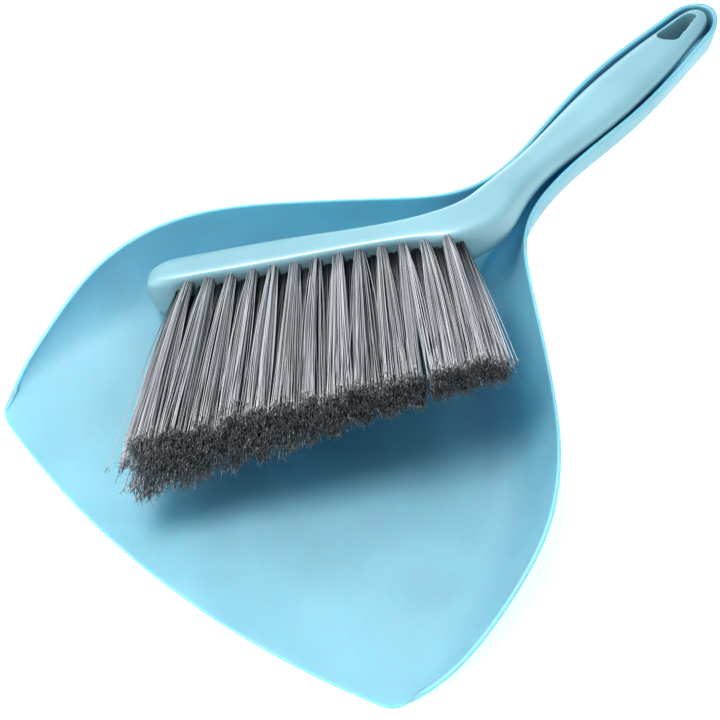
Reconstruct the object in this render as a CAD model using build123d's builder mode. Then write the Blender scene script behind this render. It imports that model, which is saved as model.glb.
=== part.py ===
"""Dustpan and hand brush, stored together: the brush's handle lies in the dustpan's channel handle.

Frame: +Y runs from the scoop's lip to the tip of the handle, +X to the right, +Z up.
The origin is on the flat underside of the scoop, on the dustpan's plane of symmetry.
All lengths are in millimetres and all angles in degrees.
"""
import os
from math import cos, radians, sin

from build123d import *

os.makedirs("parts", exist_ok=True)

# ---- dustpan -------------------------------------------------------------------------------
# Stations from the lip to the tip of the handle. Each cross-section has a flat floor, two side
# walls that are stretches of an ellipse, and an open top.
# An underside height below zero is cut off at the plane the scoop stands on.
# (y, half width at the rim, height of the rim, half width of the flat floor, underside height)
PAN_STATIONS = [
    (-92, 101, 2.4, 97, -0.5),
    (-70, 102, 2.4, 98, -0.5),
    (-54, 107, 6, 99, -0.5),
    (-34, 110, 14, 96, -0.5),
    (-12, 109.5, 25, 88, -0.5),
    (12, 103.5, 33, 77, -0.5),
    (36, 88.5, 38, 57, -0.5),
    (60, 65, 40, 34, -0.5),
    (84, 38, 41.5, 15, 1),
    (100, 21.5, 42.5, 8.5, 9),
    (114, 13.8, 43.5, 7, 20),
    (128, 11.3, 44.5, 7, 28),
    (146, 11.6, 46.5, 7.5, 31),
    (176, 13.9, 48, 9, 31),
    (206, 13.2, 48, 8.5, 31),
    (230, 10.8, 48, 7, 31.5),
    (252, 8.8, 48, 6.5, 32),
]
WALL_SWEEP = 75  # part of the quarter ellipse that a side wall follows, up to the rim
WALL = 2.0  # wall thickness at the rim
FLOOR = 2.0  # floor thickness
LIP_FLOOR = 1.4  # floor thickness at the lip
LIP_TAPER_END = -40  # y where the floor reaches its full thickness
LIP_CORNER_Y = -70  # where the lip meets the side walls
LIP_BULGE = 15.5  # how far the lip's middle stands in front of its corners
INSIDE_SWEEP = 90  # the same for the inside, which closes above the rim
FLOOR_EDGE_INSET = 0.5  # how much narrower the inside's flat floor is, on each side
PAN_TIP_Y = 249
PAN_TIP_SIDE = (10.25, 236)  # where the rounded end of the handle meets its sides: x, y
PAN_INSIDE_END_Y = 244.5  # where the open channel ends, inside the handle's tip

# ---- brush ---------------------------------------------------------------------------------
BRUSH_ROLL = -17  # turn of the brush about its handle's axis, so that the toe end sits lower
HANDLE_Z = 46.5  # height of the brush handle's axis
BEND = 48  # angle between the handle's axis and the stock
STOCK_MID = Vector(-35.4, 41.7)  # middle of the bristle face, in the brush's own plane
STOCK_DEPTH = 16  # from the bristle face to the back
# Sections across the stock, from the toe: (distance from the stock's middle, depth, thickness)
STOCK_STATIONS = [
    (69, 6, 9),
    (68, 10, 14),
    (65.5, 13.4, 18),
    (61, 15.6, 20.4),
    (52, 16, 21),
    (10, 16, 21),
    (-40, 16, 20),
]
# Sections across the bend and the handle, in the brush's own plane:
# (middle across, middle along, turn from the handle's axis, width, thickness)
HANDLE_STATIONS = [
    (-0.5, 88.2, BEND, 22.5, 18.5),
    (2.5, 100.9, 22, 22.6, 16.5),
    (1.2, 112, 7, 18.2, 15),
    (0, 127, 0, 14.8, 14),
    (0, 150, 0, 17.6, 14),
    (0, 180, 0, 22, 14),
    (0, 198, 0, 21, 13.4),
    (0, 214, 0, 18.2, 12.4),
    (0, 228, 0, 14.4, 11.2),
    (0, 238, 0, 10.8, 9.6),
    (0, 242.2, 0, 7, 6.6),
    (0, 243.5, 0, 3, 3),
]
FACE_EDGE_R = 3  # rounding of the stock's edges beside the bristle face
BACK_ROUNDING = 0.45  # radius of the other edges, as a share of the section's smaller side

HANG_HOLE_Y = (223, 235)  # hanging hole: a teardrop, with its wide end towards the palm
HANG_HOLE_R = (4, 2.2)
HANG_HOLE_REACH = 14  # how far the hole's cut reaches above and below the handle's axis

# ---- bristles ------------------------------------------------------------------------------
COLUMN_PITCH = 8.5
ROW_PITCH = 4
ROWS = 4
LONG_ROW = 14  # tufts in every other row; the rows between are staggered and hold one less
TUFT_D = 3.2
TUFT_TIP_D = 4.8
HOLE_GAP = 0.1  # how much wider a tuft's hole is than the tuft
HOLE_DEPTH = 11
HOLE_OVERRUN = 3  # how far a hole's cut runs on in front of the bristle face
FAN = 1.2  # spacing of the tips over that of the roots, along the stock
LENGTH_MID = 83  # bristle length at the middle of the stock
LENGTH_STEP = 0.2  # added length for each millimetre towards the toe
ROW_FAN_MID = 1.23  # the same spacing ratio across the rows, at the middle of the stock
ROW_FAN_STEP = 0.0105
ANCHOR = (3.8, 0.3, 1.6)  # flat wire that holds a tuft: length, thickness and height
ANCHOR_DEPTH = 9  # from the bristle face to the middle of the anchor

# Directions in the brush's own plane: along the stock towards the toe, and along the bristles.
TO_TOE = Vector(-sin(radians(BEND)), -cos(radians(BEND)))
TO_TIPS = Vector(cos(radians(BEND)), -sin(radians(BEND)))

roll = radians(BRUSH_ROLL)
brush_plane = Plane(
    origin=(0, 0, HANDLE_Z), x_dir=(cos(roll), 0, -sin(roll)), z_dir=(sin(roll), 0, cos(roll))
)


def on_stock(along, depth, across=0):
    """A point given from the middle of the bristle face, in the brush plane's coordinates."""
    point = STOCK_MID + TO_TOE * along + TO_TIPS * depth
    return Vector(point.X, point.Y, across)


def in_row_frame(point):
    return brush_plane.from_local_coords(point)


def brush_section(middle, turn, width, thickness, face_edge_r):
    """A rounded cross-section of the brush body, whose travel is turned from the handle's axis."""
    angle = radians(turn)
    towards_face = brush_plane.x_dir * cos(angle) - brush_plane.y_dir * sin(angle)
    travel = brush_plane.x_dir * sin(angle) + brush_plane.y_dir * cos(angle)
    back_r = BACK_ROUNDING * min(width, thickness)
    with BuildSketch(Plane(origin=in_row_frame(middle), x_dir=towards_face, z_dir=travel)) as section:
        Rectangle(width, thickness)
        fillet(section.vertices().group_by(Axis.X)[-1], min(face_edge_r, back_r))
        fillet(section.vertices().group_by(Axis.X)[0], back_r)
    return section.sketch


def pan_section(y, half_width, rim_z, floor_half, base_z, sweep):
    """One closed cross-section of the dustpan's outside or inside, across the handle's axis."""
    radius_x = (half_width - floor_half) / sin(radians(WALL_SWEEP))
    radius_z = (rim_z - base_z) / (1 - cos(radians(WALL_SWEEP)))
    wall_centre_z = base_z + radius_z
    with BuildSketch(Plane.XZ.offset(-y)) as section:
        with BuildLine():
            Line((-floor_half, base_z), (floor_half, base_z))
            right = EllipticalCenterArc(
                (floor_half, wall_centre_z), radius_x, radius_z, 270, arc_size=sweep
            )
            left = EllipticalCenterArc(
                (-floor_half, wall_centre_z), radius_x, radius_z, 270 - sweep, arc_size=sweep
            )
            Line(right @ 1, left @ 0)
        make_face()
    return section.sketch


def floor_thickness(y):
    share = (y - LIP_CORNER_Y) / (LIP_TAPER_END - LIP_CORNER_Y)
    return LIP_FLOOR + (FLOOR - LIP_FLOOR) * min(max(share, 0), 1)


def plan_prism():
    """The dustpan from above: a convex lip and the rounded end of the handle, wide in between."""
    corner_x = PAN_STATIONS[1][1]
    wide_x = corner_x + 12
    wide_y = (LIP_CORNER_Y + 25, PAN_TIP_SIDE[1] - 10)
    lip_middle = (0, LIP_CORNER_Y - LIP_BULGE)
    tip_x, tip_side_y = PAN_TIP_SIDE
    with BuildPart() as prism:
        with BuildSketch():
            with BuildLine():
                lip = ThreePointArc((-corner_x, LIP_CORNER_Y), lip_middle, (corner_x, LIP_CORNER_Y))
                tip = ThreePointArc((tip_x, tip_side_y), (0, PAN_TIP_Y), (-tip_x, tip_side_y))
                Polyline(lip @ 1, (wide_x, wide_y[0]), (wide_x, wide_y[1]), tip @ 0)
                Polyline(lip @ 0, (-wide_x, wide_y[0]), (-wide_x, wide_y[1]), tip @ 1)
            make_face()
        extrude(amount=2 * HANDLE_Z)
    return prism.part


# ---- the dustpan ---------------------------------------------------------------------------
with BuildPart() as pan_inside:
    for y, half_width, rim_z, floor_half, base_z in PAN_STATIONS:
        section_y = min(y, PAN_INSIDE_END_Y)
        inner_half = half_width - WALL
        inner_floor_half = floor_half - FLOOR_EDGE_INSET
        inner_base = max(base_z, 0) + floor_thickness(y)
        add(pan_section(section_y, inner_half, rim_z, inner_floor_half, inner_base, INSIDE_SWEEP))
    loft()

with BuildPart() as dustpan:
    for y, half_width, rim_z, floor_half, base_z in PAN_STATIONS:
        add(pan_section(y, half_width, rim_z, floor_half, base_z, WALL_SWEEP))
    loft()
    add(plan_prism(), mode=Mode.INTERSECT)
    add(pan_inside.part, mode=Mode.SUBTRACT)
dustpan.part.label = "dustpan"
export_step(dustpan.part, "parts/dustpan.step")

# ---- places of the tufts -------------------------------------------------------------------
tufts = []  # (name, root on the bristle face, tip), both in the object's own frame
for row in range(ROWS):
    count = LONG_ROW - row % 2
    across = (row - (ROWS - 1) / 2) * ROW_PITCH
    for column in range(count):
        along = (column - (count - 1) / 2) * COLUMN_PITCH
        row_fan = ROW_FAN_MID + ROW_FAN_STEP * along
        root = on_stock(along, 0, across)
        tip = on_stock(along * FAN, LENGTH_MID + LENGTH_STEP * along, across * row_fan)
        tufts.append((f"tuft_{row + 1}_{column + 1:02d}", in_row_frame(root), in_row_frame(tip)))


def tuft_plane(root, tip, distance):
    """The plane across a tuft, a given distance from its root towards its tip."""
    direction = (tip - root).normalized()
    return Plane(origin=root + direction * distance, x_dir=brush_plane.z_dir, z_dir=direction)


# ---- the flat wire anchors -----------------------------------------------------------------
with BuildPart() as tuft_anchors:
    with Locations(*[tuft_plane(root, tip, -ANCHOR_DEPTH) for name, root, tip in tufts]):
        Box(*ANCHOR)
tuft_anchors.part.label = "tuft_anchors"
export_step(tuft_anchors.part, "parts/tuft_anchors.step")

# ---- the brush body: stock and handle in one moulding --------------------------------------
with BuildPart() as brush_body:
    for along, depth, thickness in STOCK_STATIONS:
        middle = on_stock(along, -STOCK_DEPTH / 2)
        add(brush_section(middle, BEND, depth, thickness, FACE_EDGE_R))
    for across, along, turn, width, thickness in HANDLE_STATIONS:
        face_edge_r = FACE_EDGE_R if turn == BEND else thickness
        add(brush_section(Vector(across, along), turn, width, thickness, face_edge_r))
    loft()
    with BuildSketch(brush_plane):
        with BuildLine():
            near_y, far_y = HANG_HOLE_Y
            near_r, far_r = HANG_HOLE_R
            wide = ThreePointArc((-near_r, near_y), (0, near_y - near_r), (near_r, near_y))
            narrow = ThreePointArc((far_r, far_y), (0, far_y + far_r), (-far_r, far_y))
            Line(wide @ 1, narrow @ 0)
            Line(narrow @ 1, wide @ 0)
        make_face()
    extrude(amount=HANG_HOLE_REACH, both=True, mode=Mode.SUBTRACT)
    with Locations(*[tuft_plane(root, tip, -HOLE_DEPTH) for name, root, tip in tufts]):
        Cylinder(
            TUFT_D / 2 + HOLE_GAP / 2,
            HOLE_DEPTH + HOLE_OVERRUN,
            align=(Align.CENTER, Align.CENTER, Align.MIN),
            mode=Mode.SUBTRACT,
        )
    add(tuft_anchors.part, mode=Mode.SUBTRACT)
brush_body.part.label = "brush_body"
export_step(brush_body.part, "parts/brush_body.step")

# ---- the tufts -----------------------------------------------------------------------------
for name, root, tip in tufts:
    with BuildPart() as tuft:
        with BuildSketch(tuft_plane(root, tip, -HOLE_DEPTH)):
            Circle(TUFT_D / 2)
        extrude(amount=HOLE_DEPTH)
        with BuildSketch(tuft_plane(root, tip, 0)):
            Circle(TUFT_D / 2)
        with BuildSketch(tuft_plane(root, tip, (tip - root).length)):
            Circle(TUFT_TIP_D / 2)
        loft()
        with Locations(tuft_plane(root, tip, -ANCHOR_DEPTH)):
            Box(*ANCHOR, mode=Mode.SUBTRACT)
    tuft.part.label = name
    export_step(tuft.part, f"parts/{name}.step")
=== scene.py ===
"""Looks of the dustpan and hand brush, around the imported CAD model, in metres in its frame."""

import math

import bmesh
import bpy
import numpy as np
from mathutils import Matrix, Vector


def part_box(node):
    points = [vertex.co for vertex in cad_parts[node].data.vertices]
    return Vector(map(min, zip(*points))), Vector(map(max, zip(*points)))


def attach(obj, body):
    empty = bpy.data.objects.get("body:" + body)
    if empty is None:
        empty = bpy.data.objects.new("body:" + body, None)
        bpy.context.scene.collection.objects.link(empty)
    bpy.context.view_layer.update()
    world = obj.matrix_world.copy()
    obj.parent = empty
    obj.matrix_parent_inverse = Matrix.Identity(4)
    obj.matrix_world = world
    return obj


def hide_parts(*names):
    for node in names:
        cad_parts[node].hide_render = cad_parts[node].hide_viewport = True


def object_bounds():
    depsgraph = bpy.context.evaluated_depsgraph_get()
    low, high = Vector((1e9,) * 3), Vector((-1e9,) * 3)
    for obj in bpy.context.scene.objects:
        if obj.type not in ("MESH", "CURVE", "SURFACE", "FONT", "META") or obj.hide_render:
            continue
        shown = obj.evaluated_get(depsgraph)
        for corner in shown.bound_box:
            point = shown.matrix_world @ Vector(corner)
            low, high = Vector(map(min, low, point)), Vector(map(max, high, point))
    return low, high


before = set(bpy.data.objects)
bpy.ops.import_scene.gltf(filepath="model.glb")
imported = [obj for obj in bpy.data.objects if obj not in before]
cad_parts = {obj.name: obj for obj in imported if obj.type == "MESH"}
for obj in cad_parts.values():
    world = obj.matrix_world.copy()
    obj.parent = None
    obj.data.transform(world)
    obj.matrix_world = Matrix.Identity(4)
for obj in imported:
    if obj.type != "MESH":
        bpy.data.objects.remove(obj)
cad_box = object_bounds()

MM = 0.001
RANDOM = np.random.RandomState(41)

# ---- the dustpan's sizes, in millimetres ---------------------------------------------------
# Cross-sections: (distance behind the lip's front, half width at the rim, height of the rim,
# half width of the flat floor, height of the underside)
PAN_STATIONS = [
    (-6.5, 101, 2.4, 92, 0),
    (15.5, 102, 2.4, 92.5, 0),
    (31.5, 107, 6, 93.5, 0),
    (51.5, 110, 14, 91, 0),
    (73.5, 109.5, 25, 85, 0),
    (97.5, 103.5, 33, 77, 0),
    (121.5, 88.5, 38, 57, 0),
    (145.5, 65, 40, 34, 0),
    (169.5, 38, 41.5, 15, 1),
    (185.5, 21.5, 42.5, 8.5, 9),
    (199.5, 13.8, 43.5, 7, 20),
    (213.5, 11.3, 44.5, 7, 28),
    (231.5, 11.6, 46.5, 7.5, 31),
    (261.5, 13.9, 48, 9, 31),
    (291.5, 13.2, 48, 8.5, 31),
    (315.5, 10.8, 48, 7, 31.5),
    (337.5, 8.8, 48, 6.5, 32),
]
WALL_SWEEP = math.radians(75)  # how far round its ellipse a wall rises
WALL = 2.0
FLOOR = 2.0
FLOOR_EDGE_INSET = 0.5  # the inner floor is this much narrower on each side
LIP_FLOOR = 1.4
LIP_DEPTH = 15.5  # from the lip's front to its corners
FLOOR_FULL_Y = 45.5  # where the floor reaches its full thickness
LIP_CORNER_X = 102
LIP_CORNER_R = 6
LIP_BLEND_Y = 60  # behind this, the rows of the mesh run straight across
LIP_ROUNDS = (0, 25, 50, 72)  # degrees round the lip's edge, a row of the mesh at each
LIP_CROWDING = 1.35  # how much closer together the rows stand towards the lip
TIP_START_Y = 321.5  # where the handle's sides start to round off to its end
TIP_LENGTH = (13.0, 10.5)  # how far the end reaches behind that: outside, inside
TIP_FOOT = 0.72  # share of that reach at the underside, which rounds up to the end
RISE_EASE = 7.0  # how widely the underside's climb to the handle is eased
RIM_R = 0.95
RIM_R_SHARE = 0.45  # the most that radius may be of the wall's height, near the lip
FOOT_BLEND = 12.0  # how widely the floor's edge is eased into the wall
FOOT_SAMPLES = np.linspace(-2, 2, 17)  # where that easing looks, in widths of the blend
FOOT_MARGIN = 2.1  # widths that stay free below the rim, just over the samples' reach
FOOT_WEIGHTS = np.exp(-(FOOT_SAMPLES**2) / 2) / np.exp(-(FOOT_SAMPLES**2) / 2).sum()

# Rows of the mesh from the lip to LIP_BLEND_Y, from there to TIP_START_Y, and round the end
FRONT_ROWS, BACK_ROWS, TIP_ROWS = 60, 240, 18
# Points of the right half of a section: half the floor, one wall, and the rim that joins the
# outside, which comes first, to the inside
FLOOR_POINTS = 30
WALL_POINTS = 24
RIM_POINTS = 9
SIDE_POINTS = FLOOR_POINTS + WALL_POINTS
SECTION_POINTS = 2 * SIDE_POINTS + RIM_POINTS

# ---- the brush's sizes, in millimetres -----------------------------------------------------
STOCK_MID = (-35.4, 41.7)  # middle of the bristle face, across and along the handle's axis
STOCK_DEPTH = 16
BEND = 48  # degrees between the stock and the handle
# Cross-sections of the stock: (distance along it towards the toe, depth, thickness)
STOCK_STATIONS = [
    (69.35, 0.4, 0.6),
    (69.25, 3, 4.8),
    (68.8, 5.8, 8.6),
    (67.5, 9.4, 13.2),
    (64.8, 12.6, 17),
    (60, 15.2, 20),
    (52, 16, 21),
    (10, 16, 21),
    (-40, 16, 20),
]
STOCK_SQUARENESS = (6.5, 3.2)  # exponent of the outline's curve: bristle side, back
# Cross-sections of the bend and the handle:
# (across, along, turn from the axis, width, thickness, squareness at the bristle side, at the back)
HANDLE_STATIONS = [
    (-0.5, 88.2, BEND, 22.5, 18.5, 5, 3),
    (2.5, 100.9, 22, 22.6, 16.5, 3.4, 2.8),
    (1.2, 112, 7, 18.2, 15, 2.7, 2.6),
    (0, 127, 0, 14.8, 14, 2.2, 2.2),
    (0, 150, 0, 18.2, 14, 2.15, 2.15),
    (0, 180, 0, 22.8, 14, 2.1, 2.1),
    (0, 198, 0, 21.8, 13.4, 2.1, 2.1),
    (0, 214, 0, 19, 12.4, 2.1, 2.1),
    (0, 228, 0, 15.2, 11.2, 2.1, 2.1),
    (0, 238, 0, 11.4, 9.6, 2.3, 2.3),
    (0, 242.2, 0, 7, 6.6, 2.2, 2.2),
    (0, 243.4, 0, 3, 3, 2, 2),
    (0, 243.5, 0, 0.4, 0.4, 2, 2),
]
RING_POINTS = 96
BODY_ROWS = 300
HANG_HOLE_Y = (221.5, 235.5)  # along the axis, the middles of the teardrop's two ends
HANG_HOLE_R = (4.9, 2.7)
HANG_HOLE_CUT = 12  # how far the cutter reaches above and below the handle's middle
SKIN_VOXEL = 0.48  # the body is remeshed in cubes of this size, then relaxed
SKIN_RELAX = (0.5, 12)  # strength and number of passes

# ---- the bristles' sizes, in millimetres ---------------------------------------------------
TUFT_HOLE_DEPTH = 11
TUFT_END = 0.4  # stretch of a CAD tuft that counts as its end
STRANDS = 84  # filaments in a tuft
STRAND_R = 0.21
STRAND_TAPER = 0.2  # share of that radius lost on the way to the tip
STRAND_STEPS = 7
STRAND_SIDES = 4
STRAND_BOW = 0.55
STRAND_START = -1.0  # depth from the bristle face, so inside the stock
ROOT_R = 1.95  # radius of a tuft where it leaves the stock
ROOT_SCATTER = 0.12
LOCKS = 4  # clusters of filaments in a tuft
LOCK_REACH = 0.75  # how far a cluster's middle may stand from the tuft's, as a share of its spread
LOCK_R = 0.16
LOCK_SHARE = 0.5  # share of the filaments that are in a cluster
STRAY_SHARE = (0.03, 0.12)  # share of wayward filaments: in a tuft, in one at the stock's end
STRAY_REACH = 1.6
END_TUFT = 0.03  # a tuft this close to an end of the row, as a share of it, is at the end
TIP_SPREAD = 5.2  # half the spread of a tuft's tips along the stock
TIP_SPREAD_ACROSS = (2.8, 5.0)  # the same across it, at the heel and at the toe
TOE_FLARE = (0.8, 0.3)  # from this share of the row on, the spread grows by up to this share
FAN = 0.9  # exponent of the way a filament leans out: below 1, mostly near the root
TRIM_SCATTER = 0.45
TRIM_SHORTFALL = (7, 8)  # the most that a filament falls short, and how rare that is
TOP_BAND = (3.2, 0.55)  # depth below the brush's top where hairs are held down, and how much
PARTING = -41  # where the tips stand apart, from the middle of the stock towards the toe
PARTING_REACH = 1.5  # how far they part
PARTING_WIDTH = 5
PARTING_SCATTER = (0.2, 1.2)
FLAGS = 4  # split ends of a filament
FLAG_LENGTH = (1.8, 4.2)
FLAG_SETBACK = 0.75  # share of its length that a split end starts before the filament's tip
FLAG_R = 0.14
FLAG_TAPER = 0.5
FLAG_STEPS = 4
FLAG_SIDES = 3
FLAG_LEAN = 0.3
FLAG_CURL = 1.6  # exponent of the way a split end leans out: above 1, mostly near its tip
FLAG_START = 0.88  # where split ends start on the colour scale from root, 0, to tip, 1
STRAND_END = 0.94  # where the filament itself ends on that scale
LOCK_TONE = 0.3  # share of a filament's tone that it has from its cluster
ROOT_SHADE_REACH = 0.55  # share of a filament's length that the painted shade at its root covers
INNER_ROWS = ("2", "3")  # rows of tufts with others in front, which get that painted shade

# ---- colours -------------------------------------------------------------------------------
WHITE = (1, 1, 1, 1)
PAN_COLOUR = (0.33, 0.478, 0.525)
BRUSH_COLOUR = (0.36, 0.48, 0.52)
PLASTIC_CLOUDING = (0.93, 1.06)  # darkest and lightest patch, as a share of the colour
PLASTIC_GLOSS = (-0.05, 0.06)  # how much the roughness varies
PLASTIC_SCATTER = (0.06, 0.8, 1.0)  # how far red, green and blue spread under the surface
BRISTLE_TONES = (0.33, 0.295, 0.298, 1), (0.80, 0.725, 0.735, 1)
# painted shade: colour that darkens the split ends towards the tip, for the shadow among them, from
# BRISTLE_TIP_SHADE_START on the scale
BRISTLE_TIP_SHADE = (0.17, 0.17, 0.17, 1)
BRISTLE_TIP_SHADE_START = 0.93
# painted shade: colour that darkens the roots of the inner rows of tufts, where the rows in front
# shut out the light
BRISTLE_ROOT_SHADE = (0.16, 0.17, 0.18, 1)
WIRE_TONES = (0.42, 0.42, 0.43, 1), (0.62, 0.62, 0.63, 1)
PAPER_TONES = (0.90, 0.90, 0.90, 1), (0.93, 0.93, 0.93, 1)
PAPER_GLOW = 0.3
SKY = (0.62, 0.93, 1, 1)
SKY_STRENGTH = 0.4
COOL = (0.8, 0.96, 1)  # the fill lights, which tint the shadows


# ---- small tools ---------------------------------------------------------------------------
def spline(knots, values, at):
    """The smooth curve with continuous curvature through values at knots, evaluated at `at`."""
    knots = np.array(knots, float)
    values = np.array(values, float)
    shape = values.shape[1:]
    values = values.reshape(len(knots), -1)
    step = np.diff(knots)
    count = len(knots)
    system = np.eye(count)
    right = np.zeros_like(values)
    slopes = np.diff(values, axis=0) / step[:, None]
    for i in range(1, count - 1):
        system[i, i - 1 : i + 2] = step[i - 1], 2 * (step[i - 1] + step[i]), step[i]
        right[i] = 6 * (slopes[i] - slopes[i - 1])
    curvature = np.linalg.solve(system, right)
    at = np.asarray(at, float)
    i = np.clip(np.searchsorted(knots, at) - 1, 0, count - 2)
    h = step[i][:, None]
    a = ((knots[i + 1] - at) / step[i])[:, None]
    b = 1 - a
    curve = ((a**3 - a) * curvature[i] + (b**3 - b) * curvature[i + 1]) * h * h / 6
    return (a * values[i] + b * values[i + 1] + curve).reshape((len(at),) + shape)


def grid_faces(rows, columns):
    """Quads between the rows of a grid of points, whose rows are closed loops."""
    r, c = np.meshgrid(np.arange(rows - 1), np.arange(columns), indexing="ij")
    a = r * columns + c
    b = r * columns + (c + 1) % columns
    return np.stack([a, b, b + columns, a + columns], -1).reshape(-1, 4)


def capped_faces(rows, columns):
    """The same, with a face over the first loop and one over the last."""
    first = list(range(columns - 1, -1, -1))
    last = list(range((rows - 1) * columns, rows * columns))
    return grid_faces(rows, columns).tolist() + [first, last]


def make_piece(name, points, faces, weld=0.0):
    """A mesh object from points in millimetres. Points closer together than weld are joined."""
    mesh = bpy.data.meshes.new(name)
    mesh.from_pydata((np.asarray(points) * MM).tolist(), [], [list(f) for f in faces])
    if weld:
        bm = bmesh.new()
        bm.from_mesh(mesh)
        bmesh.ops.remove_doubles(bm, verts=bm.verts, dist=weld * MM)
        bmesh.ops.dissolve_degenerate(bm, edges=bm.edges, dist=weld * MM)
        bmesh.ops.recalc_face_normals(bm, faces=bm.faces)
        bm.to_mesh(mesh)
        bm.free()
    mesh.shade_smooth()
    piece = bpy.data.objects.new(name, mesh)
    bpy.context.scene.collection.objects.link(piece)
    return piece


def settle(piece):
    """Applies the piece's modifiers to its mesh."""
    bpy.context.view_layer.update()
    evaluated = piece.evaluated_get(bpy.context.evaluated_depsgraph_get())
    mesh = bpy.data.meshes.new_from_object(evaluated)
    piece.modifiers.clear()
    piece.data = mesh
    mesh.shade_smooth()


# ---- materials -----------------------------------------------------------------------------
def new_material(name):
    material = bpy.data.materials.new(name)
    material.use_nodes = True
    tree = material.node_tree
    return material, tree, tree.nodes["Principled BSDF"]


def set_sockets(shader, **values):
    """Sets sockets of the shader, whose names are written with _ for each space."""
    for key, value in values.items():
        shader.inputs[key.replace("_", " ")].default_value = value


def noise(tree, scale, detail=3.0):
    coordinates = tree.nodes.new("ShaderNodeTexCoord")
    made = tree.nodes.new("ShaderNodeTexNoise")
    set_sockets(made, Scale=scale, Detail=detail)
    tree.links.new(coordinates.outputs["Object"], made.inputs["Vector"])
    return made.outputs["Fac"]


def ramp(tree, source, low, high, start=0.3, end=0.7):
    made = tree.nodes.new("ShaderNodeValToRGB")
    stops = made.color_ramp.elements
    stops[0].position, stops[1].position = start, end
    stops[0].color, stops[1].color = low, high
    tree.links.new(source, made.inputs["Fac"])
    return made.outputs["Color"]


def moulded_plastic(name, colour, roughness, glow):
    """Satin moulded plastic: faint clouding of the colour, uneven gloss and a fine mould grain."""
    material, tree, shader = new_material(name)
    deep, light = PLASTIC_CLOUDING
    deeper = tuple(c * deep for c in colour) + (1,)
    lighter = tuple(min(c * light, 1) for c in colour) + (1,)
    tint = ramp(tree, noise(tree, scale=22.0, detail=2.0), deeper, lighter)
    tree.links.new(tint, shader.inputs["Base Color"])
    spread = tree.nodes.new("ShaderNodeMapRange")
    smooth, rough = PLASTIC_GLOSS
    set_sockets(spread, To_Min=roughness + smooth, To_Max=roughness + rough)
    tree.links.new(noise(tree, scale=160.0, detail=4.0), spread.inputs["Value"])
    tree.links.new(spread.outputs["Result"], shader.inputs["Roughness"])
    bump = tree.nodes.new("ShaderNodeBump")
    set_sockets(bump, Strength=0.12, Distance=0.00004)
    tree.links.new(noise(tree, scale=2600.0, detail=2.0), bump.inputs["Height"])
    tree.links.new(bump.outputs["Normal"], shader.inputs["Normal"])
    set_sockets(shader, Specular_IOR_Level=1.0, IOR=1.5)
    set_sockets(shader, Subsurface_Weight=glow, Subsurface_Scale=0.005)
    set_sockets(shader, Subsurface_Radius=PLASTIC_SCATTER)
    return material


def filament(name):
    """Grey extruded filament, coloured by the "strand" layer that colour_rows makes.

    Each filament has its own tone. Its split end is darker, painted shade for the shadow among the
    split ends, and its root in an inner row is darker as well, painted shade for the rows in front
    of it."""
    material, tree, shader = new_material(name)
    strand = tree.nodes.new("ShaderNodeAttribute")
    strand.attribute_name = "strand"
    parts = tree.nodes.new("ShaderNodeSeparateColor")
    tree.links.new(strand.outputs["Color"], parts.inputs["Color"])
    colour = ramp(tree, parts.outputs["Green"], *BRISTLE_TONES, 0.0, 1.0)
    # painted shade: the split ends are darkened towards the tip, for the shadow among them
    tips = ramp(tree, parts.outputs["Red"], WHITE, BRISTLE_TIP_SHADE, BRISTLE_TIP_SHADE_START, 1.0)
    # painted shade at the roots of the inner rows
    shade = ramp(tree, parts.outputs["Blue"], WHITE, BRISTLE_ROOT_SHADE, 0.0, 1.0)
    for layer in (tips, shade):
        product = tree.nodes.new("ShaderNodeMix")
        product.data_type = "RGBA"
        product.blend_type = "MULTIPLY"
        product.inputs["Factor"].default_value = 1
        tree.links.new(colour, product.inputs["A"])
        tree.links.new(layer, product.inputs["B"])
        colour = product.outputs["Result"]
    tree.links.new(colour, shader.inputs["Base Color"])
    set_sockets(shader, Roughness=0.42, Specular_IOR_Level=0.5)
    return material


def drawn_wire(name):
    """Flat drawn wire: bright metal, a little uneven in tone."""
    material, tree, shader = new_material(name)
    tone = ramp(tree, noise(tree, scale=900.0), *WIRE_TONES)
    tree.links.new(tone, shader.inputs["Base Color"])
    set_sockets(shader, Metallic=1, Roughness=0.35)
    return material


def white_paper(name):
    """The paper under the object. It glows a little, so that it renders white."""
    material, tree, shader = new_material(name)
    mottle = ramp(tree, noise(tree, scale=3.0), *PAPER_TONES)
    tree.links.new(mottle, shader.inputs["Base Color"])
    set_sockets(shader, Roughness=0.9, Specular_IOR_Level=0.1)
    set_sockets(shader, Emission_Color=WHITE, Emission_Strength=PAPER_GLOW)
    return material


pan_plastic = moulded_plastic("pan_plastic", PAN_COLOUR, roughness=0.50, glow=0.9)
brush_plastic = moulded_plastic("brush_plastic", BRUSH_COLOUR, roughness=0.34, glow=0.25)
bristle = filament("bristle")
anchor_wire = drawn_wire("anchor_wire")

# ---- the dustpan ---------------------------------------------------------------------------
pan_low, pan_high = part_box("dustpan")
pan_middle_x = (pan_low.x + pan_high.x) / 2 / MM
pan_front_y = pan_low.y / MM
pan_base_z = pan_low.z / MM

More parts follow.
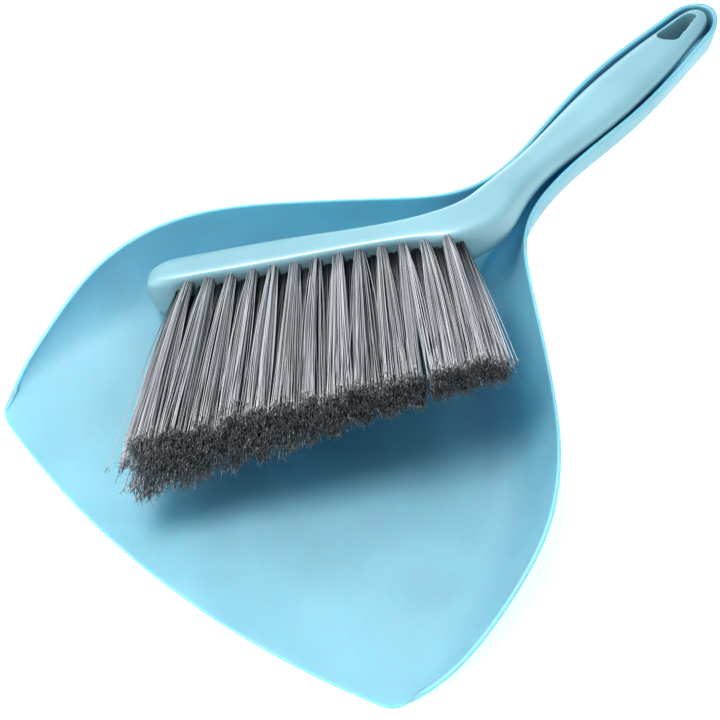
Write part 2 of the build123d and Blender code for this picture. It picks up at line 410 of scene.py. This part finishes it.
# Where each point of a half section lies: on the floor, how far out on it, and how far up the wall
ON_FLOOR = np.ones(SECTION_POINTS, bool)
ON_FLOOR[FLOOR_POINTS:-FLOOR_POINTS] = False
FLOOR_SHARE = np.ones(SECTION_POINTS)
FLOOR_SHARE[:FLOOR_POINTS] = np.linspace(0, 1, FLOOR_POINTS)
FLOOR_SHARE[-FLOOR_POINTS:] = np.linspace(1, 0, FLOOR_POINTS)
WALL_SHARE = np.where(ON_FLOOR, 0.0, 1.0)
WALL_SHARE[FLOOR_POINTS:SIDE_POINTS] = np.linspace(0, 1, WALL_POINTS + 1)[1:]
WALL_SHARE[-SIDE_POINTS:-FLOOR_POINTS] = WALL_SHARE[FLOOR_POINTS:SIDE_POINTS][::-1]
RIM_AT = slice(SIDE_POINTS, SIDE_POINTS + RIM_POINTS)
RIM_TURN = np.linspace(0, math.pi, RIM_POINTS + 2)[1:-1]
OUTSIDE = np.arange(SECTION_POINTS) < SECTION_POINTS // 2


def underside(y):
    """Height of the underside: flat under the scoop, then a smooth climb to the handle."""
    step, reach = 0.5, 24
    fine = np.arange(-20, 360, step)
    heights = np.interp(fine, [s[0] for s in PAN_STATIONS], [s[4] for s in PAN_STATIONS])
    near = np.arange(-reach, reach + step, step)
    bell = np.exp(-((near / RISE_EASE) ** 2) / 2)
    padded = np.pad(heights, len(near) // 2, mode="edge")
    return np.interp(y, fine, np.convolve(padded, bell / bell.sum(), mode="valid"))


def wall_and_top(half, floor_half, base, rim, crest):
    """x and z of floor and wall at each point, and x and z of the wall's top there."""
    reach = (half - floor_half) / math.sin(WALL_SWEEP)
    height = (rim - base) / (1 - math.cos(WALL_SWEEP))
    end = np.arccos(np.clip(1 - (rim - crest - base) / height, -1, 1))
    top_x = floor_half + reach * np.sin(end)

    def eased(x):
        """Height at x, averaged over a stretch that narrows to the rim."""
        width = np.clip((top_x - x) / FOOT_MARGIN, 0, FOOT_BLEND)
        near = np.abs(x[:, None] + width[:, None] * FOOT_SAMPLES)
        lean = np.clip((near - floor_half[:, None]) / reach[:, None], 0, 1)
        return base + height * ((1 - np.sqrt(1 - lean**2)) @ FOOT_WEIGHTS)

    x = floor_half + reach * np.sin(end * WALL_SHARE)
    x = np.where(ON_FLOOR, floor_half * FLOOR_SHARE, x)
    return x, eased(x), top_x, eased(top_x)


def pan_half_profile(y):
    """x and z of the right half of a section: underside, outer wall, rim, inner wall and floor.

    y holds a distance behind the lip's front for each point."""
    columns = spline([s[0] for s in PAN_STATIONS], [s[1:4] for s in PAN_STATIONS], y)
    half, rim, floor_half = columns.T
    base = underside(y)
    floor = base + np.interp(y, [LIP_DEPTH, FLOOR_FULL_Y], [LIP_FLOOR, FLOOR])
    crest = np.minimum(RIM_R, RIM_R_SHARE * (rim - floor))
    outer_x, outer_z, outer_top_x, top_z = wall_and_top(half, floor_half, base, rim, crest)
    inside = (half - WALL, floor_half - FLOOR_EDGE_INSET, floor, rim, crest)
    inner_x, inner_z, inner_top_x, _ = wall_and_top(*inside)
    x = np.where(OUTSIDE, outer_x, inner_x)
    z = np.where(OUTSIDE, outer_z, inner_z)
    middle = (outer_top_x + inner_top_x) / 2
    rim_half = (outer_top_x - inner_top_x) / 2
    x[RIM_AT] = middle[RIM_AT] + rim_half[RIM_AT] * np.cos(RIM_TURN)
    z[RIM_AT] = top_z[RIM_AT] + crest[RIM_AT] * np.sin(RIM_TURN)
    return x, z


def lip_line(x):
    """Distance of the lip's edge behind its front, at a distance x from the middle."""
    radius = (LIP_CORNER_X**2 + LIP_DEPTH**2) / (2 * LIP_DEPTH)
    x = np.clip(np.abs(x), 0, LIP_CORNER_X)
    arc = radius - np.sqrt(radius**2 - x**2)
    past = np.clip(x - (LIP_CORNER_X - LIP_CORNER_R), 0, LIP_CORNER_R)
    return arc + LIP_CORNER_R - np.sqrt(LIP_CORNER_R**2 - past**2)


def front_row(share):
    """A row of the mesh between the lip, at share 0, and LIP_BLEND_Y, at share 1."""
    y = np.full(SECTION_POINTS, share * LIP_BLEND_Y)
    for _ in range(6):  # x and y depend on each other, and settle in a few passes
        x, z = pan_half_profile(y)
        y = lip_line(x) * (1 - share) + LIP_BLEND_Y * share
    return np.stack([x, y, z], -1)


def tip_reach():
    """How far the handle's end reaches behind TIP_START_Y, at each point of a section."""
    inward = np.where(OUTSIDE, 0.0, 1.0)
    inward[RIM_AT] = (1 - np.cos(RIM_TURN)) / 2
    outer, inner = TIP_LENGTH
    foot = TIP_FOOT + (1 - TIP_FOOT) * np.sin(WALL_SHARE * math.pi / 2)
    return (outer + (inner - outer) * inward) * foot


def pan_rows():
    """The rows of points of the pan's right half, from the lip's edge to the handle's end."""
    nose = LIP_FLOOR / 2
    rows = []
    edge = front_row(0)
    core = (edge + edge[::-1]) / 2
    for turn in np.radians(LIP_ROUNDS):
        row = core + (edge - core) * math.sin(turn)
        row[:, 1] += nose * (1 - math.cos(turn))
        rows.append(row)
    start = nose / LIP_BLEND_Y
    for share in start + (1 - start) * np.linspace(0, 1, FRONT_ROWS) ** LIP_CROWDING:
        rows.append(front_row(share))
    for y in np.linspace(LIP_BLEND_Y, TIP_START_Y, BACK_ROWS)[1:]:
        line = np.full(SECTION_POINTS, y)
        x, z = pan_half_profile(line)
        rows.append(np.stack([x, line, z], -1))
    reach = tip_reach()
    for turn in np.radians(np.linspace(0, 90, TIP_ROWS + 1)[1:]):
        y = TIP_START_Y + reach * math.sin(turn)
        x, z = pan_half_profile(y)
        rows.append(np.stack([x * math.cos(turn), y, z], -1))
    return rows


def build_pan():
    loops = []
    for row in pan_rows():
        left = row[-2:0:-1] * (-1, 1, 1)
        loops.append(np.concatenate([row, left]))
    points = np.concatenate(loops) + (pan_middle_x, pan_front_y, pan_base_z)
    faces = grid_faces(len(loops), len(loops[0]))
    piece = make_piece("pan_moulding", points, faces, weld=0.004)
    piece.data.materials.append(pan_plastic)
    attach(piece, "dustpan")
    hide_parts("dustpan")


build_pan()

# ---- where the CAD tufts stand -------------------------------------------------------------
tuft_names = sorted(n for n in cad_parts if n.startswith("tuft_") and n != "tuft_anchors")


def tuft_ends(name):
    """Where a CAD tuft leaves the bristle face and where its tip ends, in millimetres."""
    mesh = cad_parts[name].data
    points = np.array([v.co for v in mesh.vertices], float) / MM
    middle = points.mean(0)
    direction = np.linalg.svd(points - middle, full_matrices=False)[2][0]
    direction *= -np.sign(direction[1])  # the tips point away from the handle
    along = (points - middle) @ direction
    tip = points[along > along.max() - TUFT_END].mean(0)
    deep = points[along < along.min() + TUFT_END].mean(0)
    direction = (tip - deep) / np.linalg.norm(tip - deep)
    return deep + direction * TUFT_HOLE_DEPTH, tip


tuft_places = {name: tuft_ends(name) for name in tuft_names}
face_middle = np.array([root for root, _ in tuft_places.values()]).mean(0)
# Directions of the stock: towards its toe, up through the rows, and along the bristles.
toe_way = tuft_places["tuft_1_14"][0] - tuft_places["tuft_1_01"][0]
toe_way /= np.linalg.norm(toe_way)
up_way = tuft_places["tuft_3_01"][0] - tuft_places["tuft_1_01"][0]
up_way -= toe_way * (up_way @ toe_way)
up_way /= np.linalg.norm(up_way)
tip_way = np.cross(up_way, toe_way)
if tip_way @ (tuft_places["tuft_1_01"][1] - tuft_places["tuft_1_01"][0]) < 0:
    tip_way = -tip_way

bend = math.radians(BEND)
across_way = math.cos(bend) * tip_way - math.sin(bend) * toe_way
handle_way = -math.sin(bend) * tip_way - math.cos(bend) * toe_way


def brush_point(across, along, up=0.0):
    """A point of the brush, from its place across and along the handle's axis and above it."""
    offset = (across - STOCK_MID[0]) * across_way + (along - STOCK_MID[1]) * handle_way
    return face_middle + offset + up * up_way


# ---- the brush body ------------------------------------------------------------------------
def rounded_outline(width, thickness, face_power, back_power):
    """Evenly spaced points round a section, from the middle of its bristle side."""
    turn = np.linspace(0, 2 * math.pi, 1441)
    power = np.where(np.cos(turn) > 0, face_power, back_power)
    a = np.sign(np.cos(turn)) * np.abs(np.cos(turn)) ** (2 / power) * width / 2
    b = np.sign(np.sin(turn)) * np.abs(np.sin(turn)) ** (2 / power) * thickness / 2
    run = np.concatenate([[0], np.cumsum(np.hypot(np.diff(a), np.diff(b)))])
    even = np.linspace(0, run[-1], RING_POINTS + 1)[:-1]
    return np.interp(even, run, a), np.interp(even, run, b)


def brush_ring(across, along, turn, width, thickness, face_power, back_power):
    """The outline of a section, in its place."""
    angle = math.radians(turn)
    face_way = across_way * math.cos(angle) - handle_way * math.sin(angle)
    a, b = rounded_outline(width, thickness, face_power, back_power)
    return brush_point(across, along) + np.outer(a, face_way) + np.outer(b, up_way)


def brush_loft():
    """The body without its hole: a smooth loft through the stock's and the handle's sections."""
    rings = []
    for along, depth, thickness in STOCK_STATIONS:
        across_mid = STOCK_MID[0] - math.sin(bend) * along - math.cos(bend) * STOCK_DEPTH / 2
        along_mid = STOCK_MID[1] - math.cos(bend) * along + math.sin(bend) * STOCK_DEPTH / 2
        size = (depth, thickness) + STOCK_SQUARENESS
        rings.append(brush_ring(across_mid, along_mid, BEND, *size))
    for station in HANDLE_STATIONS:
        rings.append(brush_ring(*station))
    rings = np.array(rings)
    gaps = np.linalg.norm(np.diff(rings, axis=0), axis=2).mean(1)
    run = np.concatenate([[0], np.cumsum(gaps)])
    rows = spline(run, rings, np.linspace(0, run[-1], BODY_ROWS))
    faces = capped_faces(BODY_ROWS, RING_POINTS)
    return make_piece("brush_moulding", rows.reshape(-1, 3), faces, weld=0.002)


def hang_hole_cutter():
    """A teardrop-shaped bar through the handle."""
    outline = []
    near_y, far_y = HANG_HOLE_Y
    near_r, far_r = HANG_HOLE_R
    for turn in np.linspace(math.pi, 2 * math.pi, 24):
        outline.append((near_r * math.cos(turn), near_y + near_r * math.sin(turn)))
    for turn in np.linspace(0, math.pi, 24):
        outline.append((far_r * math.cos(turn), far_y + far_r * math.sin(turn)))
    levels = (-HANG_HOLE_CUT, HANG_HOLE_CUT)
    points = [brush_point(x, y, up) for up in levels for x, y in outline]
    return make_piece("hang_hole", points, capped_faces(2, len(outline)), weld=0.002)


def build_brush_body():
    piece = brush_loft()
    cutter = hang_hole_cutter()
    cut = piece.modifiers.new("hang_hole", "BOOLEAN")
    cut.object = cutter
    cut.operation = "DIFFERENCE"
    cut.solver = "EXACT"
    settle(piece)
    bpy.data.objects.remove(cutter)
    skin = piece.modifiers.new("skin", "REMESH")
    skin.mode = "VOXEL"
    skin.voxel_size = SKIN_VOXEL * MM
    relax = piece.modifiers.new("relax", "SMOOTH")
    relax.factor, relax.iterations = SKIN_RELAX
    settle(piece)
    piece.data.materials.clear()
    piece.data.materials.append(brush_plastic)
    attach(piece, "brush")
    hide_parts("brush_body")


build_brush_body()


# ---- the bristles --------------------------------------------------------------------------
def stock_frame(point):
    """Along the stock, along the bristles and up through the rows, from the middle of the face."""
    offset = point - face_middle
    return np.array([offset @ toe_way, offset @ tip_way, offset @ up_way])


def from_stock_frame(points):
    return face_middle + points @ np.array([toe_way, tip_way, up_way])


tip_places = np.array([stock_frame(tip) for _, tip in tuft_places.values()])
# The bristles are trimmed to one slanted line: depth of the trim against the place along the stock.
trim_slope, trim_depth = np.polyfit(tip_places[:, 0], tip_places[:, 1], 1)
toe_end, heel_end = tip_places[:, 0].max(), tip_places[:, 0].min()


def tubes(paths, radii, sides):
    """Points and faces of capped tubes along paths (tube, step, xyz), with a radius per step."""
    count, steps, _ = paths.shape
    run = paths[:, -1] - paths[:, 0]
    run /= np.linalg.norm(run, axis=1, keepdims=True)
    one = np.cross(run, up_way)
    one /= np.linalg.norm(one, axis=1, keepdims=True)
    two = np.cross(run, one)
    turn = np.arange(sides) * 2 * math.pi / sides
    ring = one[:, None] * np.cos(turn)[None, :, None] + two[:, None] * np.sin(turn)[None, :, None]
    points = paths[:, :, None] + ring[:, None] * radii[None, :, None, None]
    starts = np.arange(count) * steps * sides
    walls = (grid_faces(steps, sides)[None] + starts[:, None, None]).reshape(-1, 4).tolist()
    caps = (np.arange((steps - 1) * sides, steps * sides)[None] + starts[:, None]).tolist()
    caps += (np.arange(sides)[::-1][None] + starts[:, None]).tolist()
    return points.reshape(-1, 3), walls + caps


def colour_rows(along, tone, shade, sides):
    """Colours of tubes' points: red along the filament, green its tone, blue the painted shade at
    its root.
    """
    layers = along[:, None], tone[:, None, None], shade[:, None]
    shape = (len(tone), len(along), sides)
    return np.stack([np.broadcast_to(layer, shape).ravel() for layer in layers], -1)


def strand_places(at_end):
    """Place of each filament in its tuft, from -1 to 1 each way, and the lock it belongs to.

    Filaments gather in a few locks, and the rest fill the space between them."""
    locks = RANDOM.uniform(-LOCK_REACH, LOCK_REACH, (LOCKS, 2))
    angle = RANDOM.uniform(0, 2 * math.pi, STRANDS)
    radius = np.sqrt(RANDOM.uniform(0, 1, STRANDS))
    even = np.stack([radius * np.cos(angle), radius * np.sin(angle)], -1)
    member = RANDOM.randint(0, LOCKS, STRANDS)
    locked = locks[member] + RANDOM.normal(0, LOCK_R, (STRANDS, 2))
    in_lock = RANDOM.uniform(0, 1, STRANDS) < LOCK_SHARE
    place = np.where(in_lock[:, None], locked, even)
    place[RANDOM.uniform(0, 1, STRANDS) < STRAY_SHARE[at_end]] *= STRAY_REACH
    return place, member


def strand_paths(place, root_at, tip_at, toe_share):
    """Lines of a tuft's filaments (filament, step, xyz) in the stock's frame."""
    start = np.zeros((STRANDS, 3))
    outer = np.maximum(1, np.linalg.norm(place, axis=1, keepdims=True))
    start[:, (0, 2)] = place / outer * ROOT_R
    start[:, (0, 2)] += RANDOM.normal(0, ROOT_SCATTER, (STRANDS, 2))
    start += root_at
    start[:, 1] = STRAND_START

    flare_from, flare = TOE_FLARE
    spread = TIP_SPREAD * (1 + flare * max(0, toe_share - flare_from) / (1 - flare_from))
    low, high = TIP_SPREAD_ACROSS
    end = np.zeros((STRANDS, 3))
    end[:, 0] = tip_at[0] + place[:, 0] * spread
    end[:, 2] = tip_at[2] + place[:, 1] * (low + (high - low) * toe_share)
    apart = end[:, 0] - PARTING
    push = np.sign(apart) * PARTING_REACH * np.exp(-((apart / PARTING_WIDTH) ** 2))
    end[:, 0] += push * RANDOM.uniform(*PARTING_SCATTER, STRANDS)
    end[:, 1] = trim_depth + trim_slope * end[:, 0] + RANDOM.normal(0, TRIM_SCATTER, STRANDS)
    shortfall, rarity = TRIM_SHORTFALL
    end[:, 1] -= RANDOM.uniform(0, 1, STRANDS) ** rarity * shortfall

    steps = np.linspace(0, 1, STRAND_STEPS)
    way = (end - start)[:, None]
    paths = start[:, None] + way * (steps**FAN)[None, :, None]
    paths[:, :, 1] = start[:, None, 1] + way[:, :, 1] * steps
    bow = RANDOM.normal(0, STRAND_BOW, (STRANDS, 2))
    paths[:, :, 0] += bow[:, :1] * np.sin(steps * math.pi)
    paths[:, :, 2] += bow[:, 1:] * np.sin(steps * math.pi)
    return paths


def split_ends(paths):
    """Points, faces and colours of the fine hairs that part from each filament near its end."""
    hairs = STRANDS * FLAGS
    owner = np.repeat(np.arange(STRANDS), FLAGS)
    length = RANDOM.uniform(*FLAG_LENGTH, hairs)
    way = paths[owner, -1] - paths[owner, -2]
    way /= np.linalg.norm(way, axis=1, keepdims=True)
    origin = paths[owner, -1] - way * (length * FLAG_SETBACK)[:, None]
    lean = RANDOM.normal(0, FLAG_LEAN, (hairs, 3))
    steps = np.linspace(0, 1, FLAG_STEPS)
    hair = origin[:, None] + (way * length[:, None])[:, None] * steps[None, :, None]
    hair += (lean * length[:, None])[:, None] * (steps**FLAG_CURL)[None, :, None]
    radii = FLAG_R * (1 - FLAG_TAPER * steps)
    points, faces = tubes(from_stock_frame(hair), radii, FLAG_SIDES)
    tone = RANDOM.uniform(0, 1, hairs)
    along = FLAG_START + (1 - FLAG_START) * steps
    return points, faces, colour_rows(along, tone, np.zeros(FLAG_STEPS), FLAG_SIDES)


def build_tuft(name, root, tip):
    root_at, tip_at = stock_frame(root), stock_frame(tip)
    toe_share = (tip_at[0] - heel_end) / (toe_end - heel_end)
    place, member = strand_places(not END_TUFT <= toe_share <= 1 - END_TUFT)
    paths = strand_paths(place, root_at, tip_at, toe_share)
    steps = np.linspace(0, 1, STRAND_STEPS)
    radii = STRAND_R * (1 - STRAND_TAPER * steps)
    points, faces = tubes(from_stock_frame(paths), radii, STRAND_SIDES)
    tone = RANDOM.uniform(0, 1, STRANDS) * (1 - LOCK_TONE)
    tone += RANDOM.uniform(0, 1, LOCKS)[member] * LOCK_TONE
    is_inner = name.split("_")[1] in INNER_ROWS
    # painted shade near the roots of the inner rows, fading out along the filament
    shade = np.clip(1 - steps / ROOT_SHADE_REACH, 0, 1) * is_inner
    colours = colour_rows(steps * STRAND_END, tone, shade, STRAND_SIDES)

    hair_points, hair_faces, hair_colours = split_ends(paths)
    faces += [[i + len(points) for i in f] for f in hair_faces]
    points = np.concatenate([points, hair_points])
    colours = np.concatenate([colours, hair_colours])

    # Hairs that would rise past the top of the brush bend back under it.
    depth, held = TOP_BAND
    above = np.clip(points[:, 2] - (cad_box[1].z / MM - depth), 0, None)
    points[:, 2] -= above * (1 - held)

    piece = make_piece(name.replace("tuft", "bristles"), points, faces)
    layer = piece.data.color_attributes.new("strand", "FLOAT_COLOR", "POINT")
    layer.data.foreach_set("color", np.insert(colours, 3, 1, axis=1).ravel())
    piece.data.materials.append(bristle)
    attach(piece, "brush")
    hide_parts(name)


for tuft_name in tuft_names:
    build_tuft(tuft_name, *tuft_places[tuft_name])

# ---- the wire anchors, inside the stock ----------------------------------------------------
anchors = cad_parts["tuft_anchors"]
anchors.data.materials.clear()
anchors.data.materials.append(anchor_wire)

# ---- floor and light, in metres ------------------------------------------------------------
FLOOR_HALF = 20.0
FLOOR_GAP = 0.0002  # between the paper and the pan's underside
corners = [(-1, -1, 0), (1, -1, 0), (1, 1, 0), (-1, 1, 0)]
floor = make_piece("studio_floor", np.array(corners, float) * FLOOR_HALF / MM, [[0, 1, 2, 3]])
floor.location.z = pan_low.z - FLOOR_GAP
floor.data.materials.append(white_paper("paper"))

aim = (cad_box[0] + cad_box[1]) / 2


def way_from_aim(azimuth, elevation):
    """The direction at an azimuth, 0 at the front and 90 at the right, and an elevation."""
    a, e = math.radians(azimuth), math.radians(elevation)
    return Vector((math.sin(a) * math.cos(e), -math.cos(a) * math.cos(e), math.sin(e)))


def soft_light(name, azimuth, elevation, distance, size, power, colour=(1, 1, 1)):
    """A rectangular lamp that faces the object, placed by its direction from the object."""
    way = way_from_aim(azimuth, elevation)
    lamp = bpy.data.lights.new(name, "AREA")
    lamp.shape = "RECTANGLE"
    lamp.size, lamp.size_y = size
    lamp.energy = power
    lamp.color = colour
    holder = bpy.data.objects.new(name, lamp)
    bpy.context.scene.collection.objects.link(holder)
    holder.location = aim + way * distance
    holder.rotation_euler = (-way).to_track_quat("-Z", "Y").to_euler()


soft_light("key", 345, 67, distance=1.3, size=(0.55, 0.55), power=8.6)
soft_light("sky_panel", 235, 74, distance=1.7, size=(1.8, 1.4), power=2.6)
soft_light("left_fill", 290, 38, distance=1.8, size=(1.2, 0.9), power=3.8, colour=COOL)
soft_light("right_fill", 85, 42, distance=1.8, size=(1.4, 1.0), power=1.4, colour=COOL)

world = bpy.data.worlds.new("studio")
world.use_nodes = True
set_sockets(world.node_tree.nodes["Background"], Color=SKY, Strength=SKY_STRENGTH)
bpy.context.scene.world = world
bpy.context.scene.view_settings.view_transform = "Standard"
bpy.context.scene.view_settings.look = "Very High Contrast"

# ---- camera --------------------------------------------------------------------------------
CAMERA_AZIMUTH = 40.8
CAMERA_ELEVATION = 52.5
CAMERA_DISTANCE = 0.97
CAMERA_LENS = 123
CAMERA_SENSOR = 36
CAMERA_TARGET = aim + Vector((-0.0128, -0.0409, -0.035))
back = way_from_aim(CAMERA_AZIMUTH, CAMERA_ELEVATION)
camera = bpy.data.objects.new("camera", bpy.data.cameras.new("camera"))
camera.data.lens = CAMERA_LENS
camera.data.sensor_width = CAMERA_SENSOR
camera.location = CAMERA_TARGET + back * CAMERA_DISTANCE
camera.rotation_mode = "QUATERNION"
camera.rotation_quaternion = (-back).to_track_quat("-Z", "Y")
bpy.context.scene.collection.objects.link(camera)
bpy.context.scene.camera = camera
